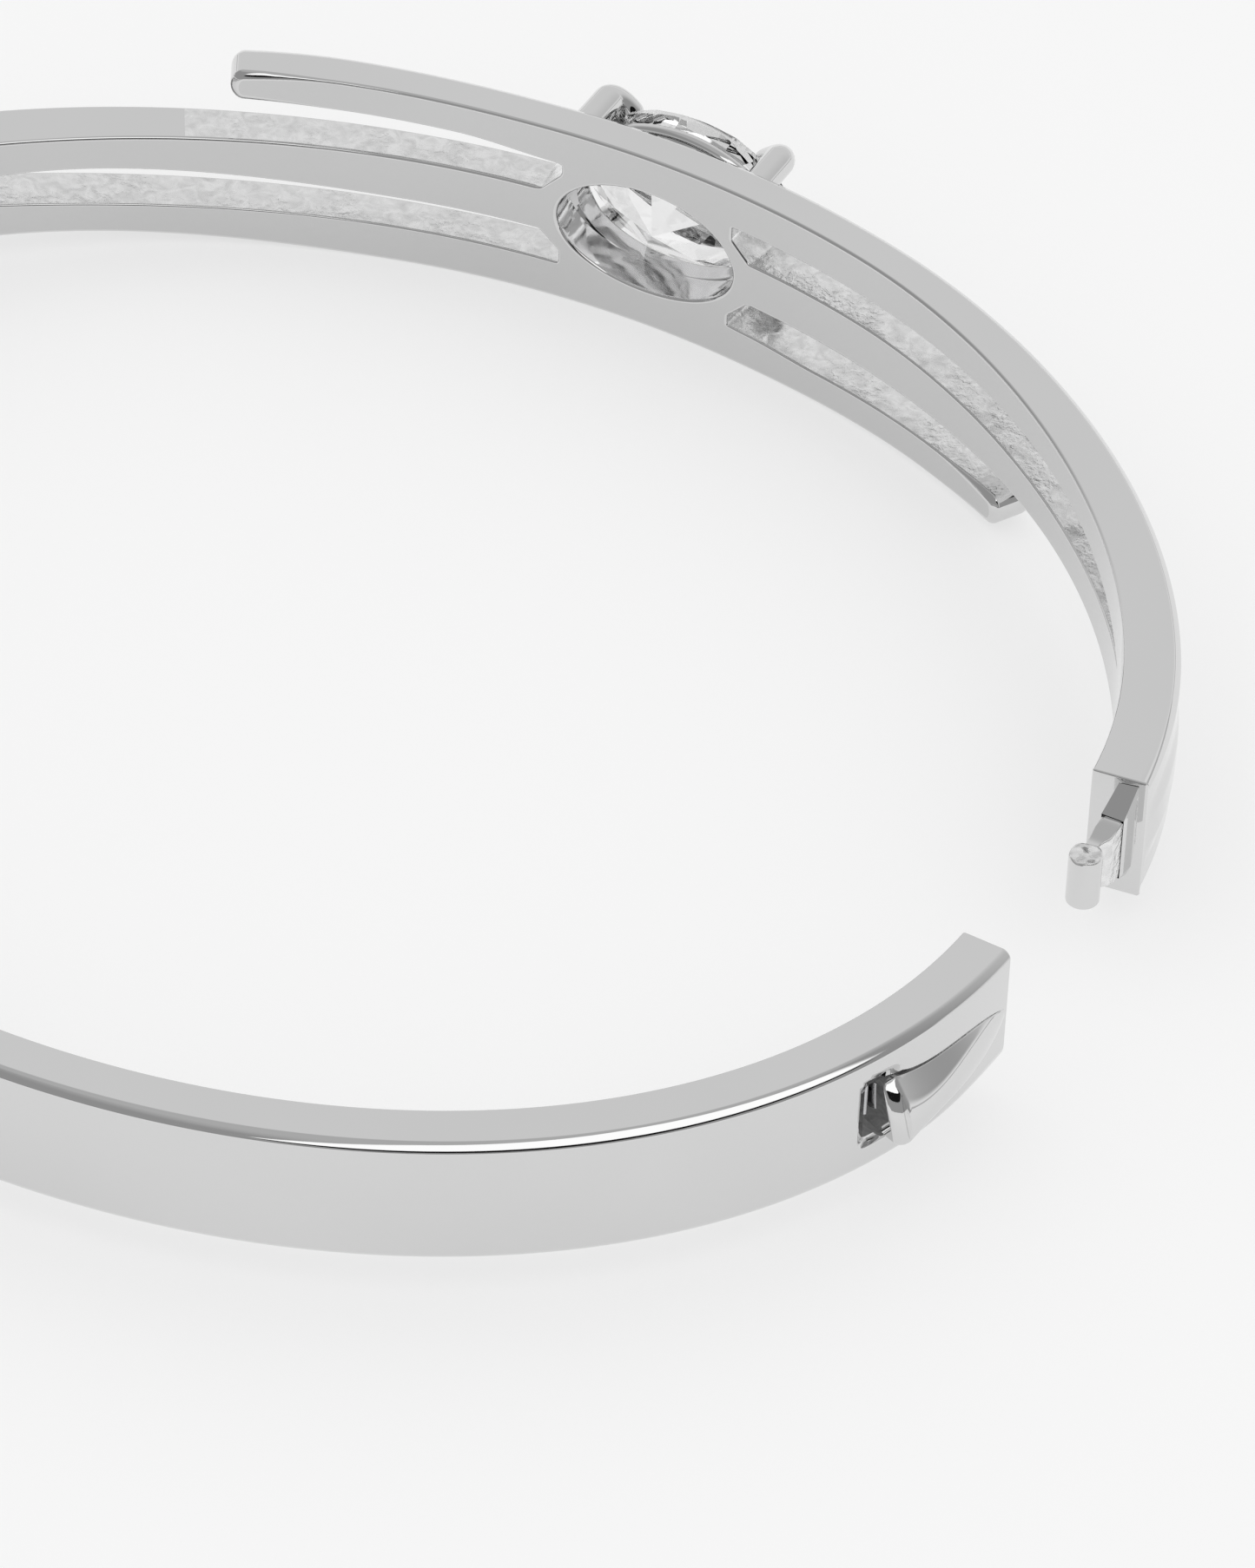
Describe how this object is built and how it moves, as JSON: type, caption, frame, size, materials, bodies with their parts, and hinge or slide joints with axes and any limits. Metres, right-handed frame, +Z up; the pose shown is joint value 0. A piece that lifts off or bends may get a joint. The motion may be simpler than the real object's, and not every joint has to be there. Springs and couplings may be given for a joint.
{
  "type": "hinged bangle bracelet",
  "caption": "Oval hinged bangle with slotted bypass bars on the front half, a claw-set oval stone, and a tongue and thumb-lever catch, shown part open.",
  "frame": {"origin": "middle of the underside of the whole bangle, at the bottom centre of its bounding box as shown, part open", "axes": "+Z up along the axis of the wrist opening, +Y towards the stone, +X towards the catch, hinge at -X"},
  "size_m": [0.0642, 0.0606, 0.0084],
  "materials": {
    "polished_silver": "mirror-polished rhodium-plated silver",
    "cast_silver": "as-cast silver, lightly polished",
    "steel_pin": "drawn steel wire and strip",
    "clear_stone": "clear faceted oval stone"
  },
  "bodies": {
    "front_half": {"front_frame": "polished_silver", "setting_collar": "polished_silver", "gallery_rail": "polished_silver", "prong_1": "polished_silver", "prong_2": "polished_silver", "prong_3": "polished_silver", "prong_4": "polished_silver", "center_stone": "clear_stone", "tongue": "cast_silver", "hook_bar": "cast_silver", "front_knuckle_upper": "polished_silver", "front_knuckle_lower": "polished_silver", "hinge_pin": "steel_pin"},
    "back_half": {"back_band": "polished_silver", "back_knuckle": "polished_silver", "lever_pin": "steel_pin", "catch_spring": "steel_pin"},
    "lever": {"catch_lever": "polished_silver"}
  },
  "joints": [
    {"name": "back_half_hinge", "type": "hinge", "parent": "front_half", "child": "back_half", "pos_m": [-0.03084, -0.00112, 0.00405], "axis": [0, 0, -1], "range_deg": [-9.5, 50]},
    {"name": "catch_lever_press", "type": "hinge", "parent": "back_half", "child": "lever", "pos_m": [0.03026, -0.01134, 0.00405], "axis": [0, 0, -1], "range_deg": [0, 7], "stiffness_Nm_per_rad": 0.01, "springref_deg": -8.59}
  ]
}
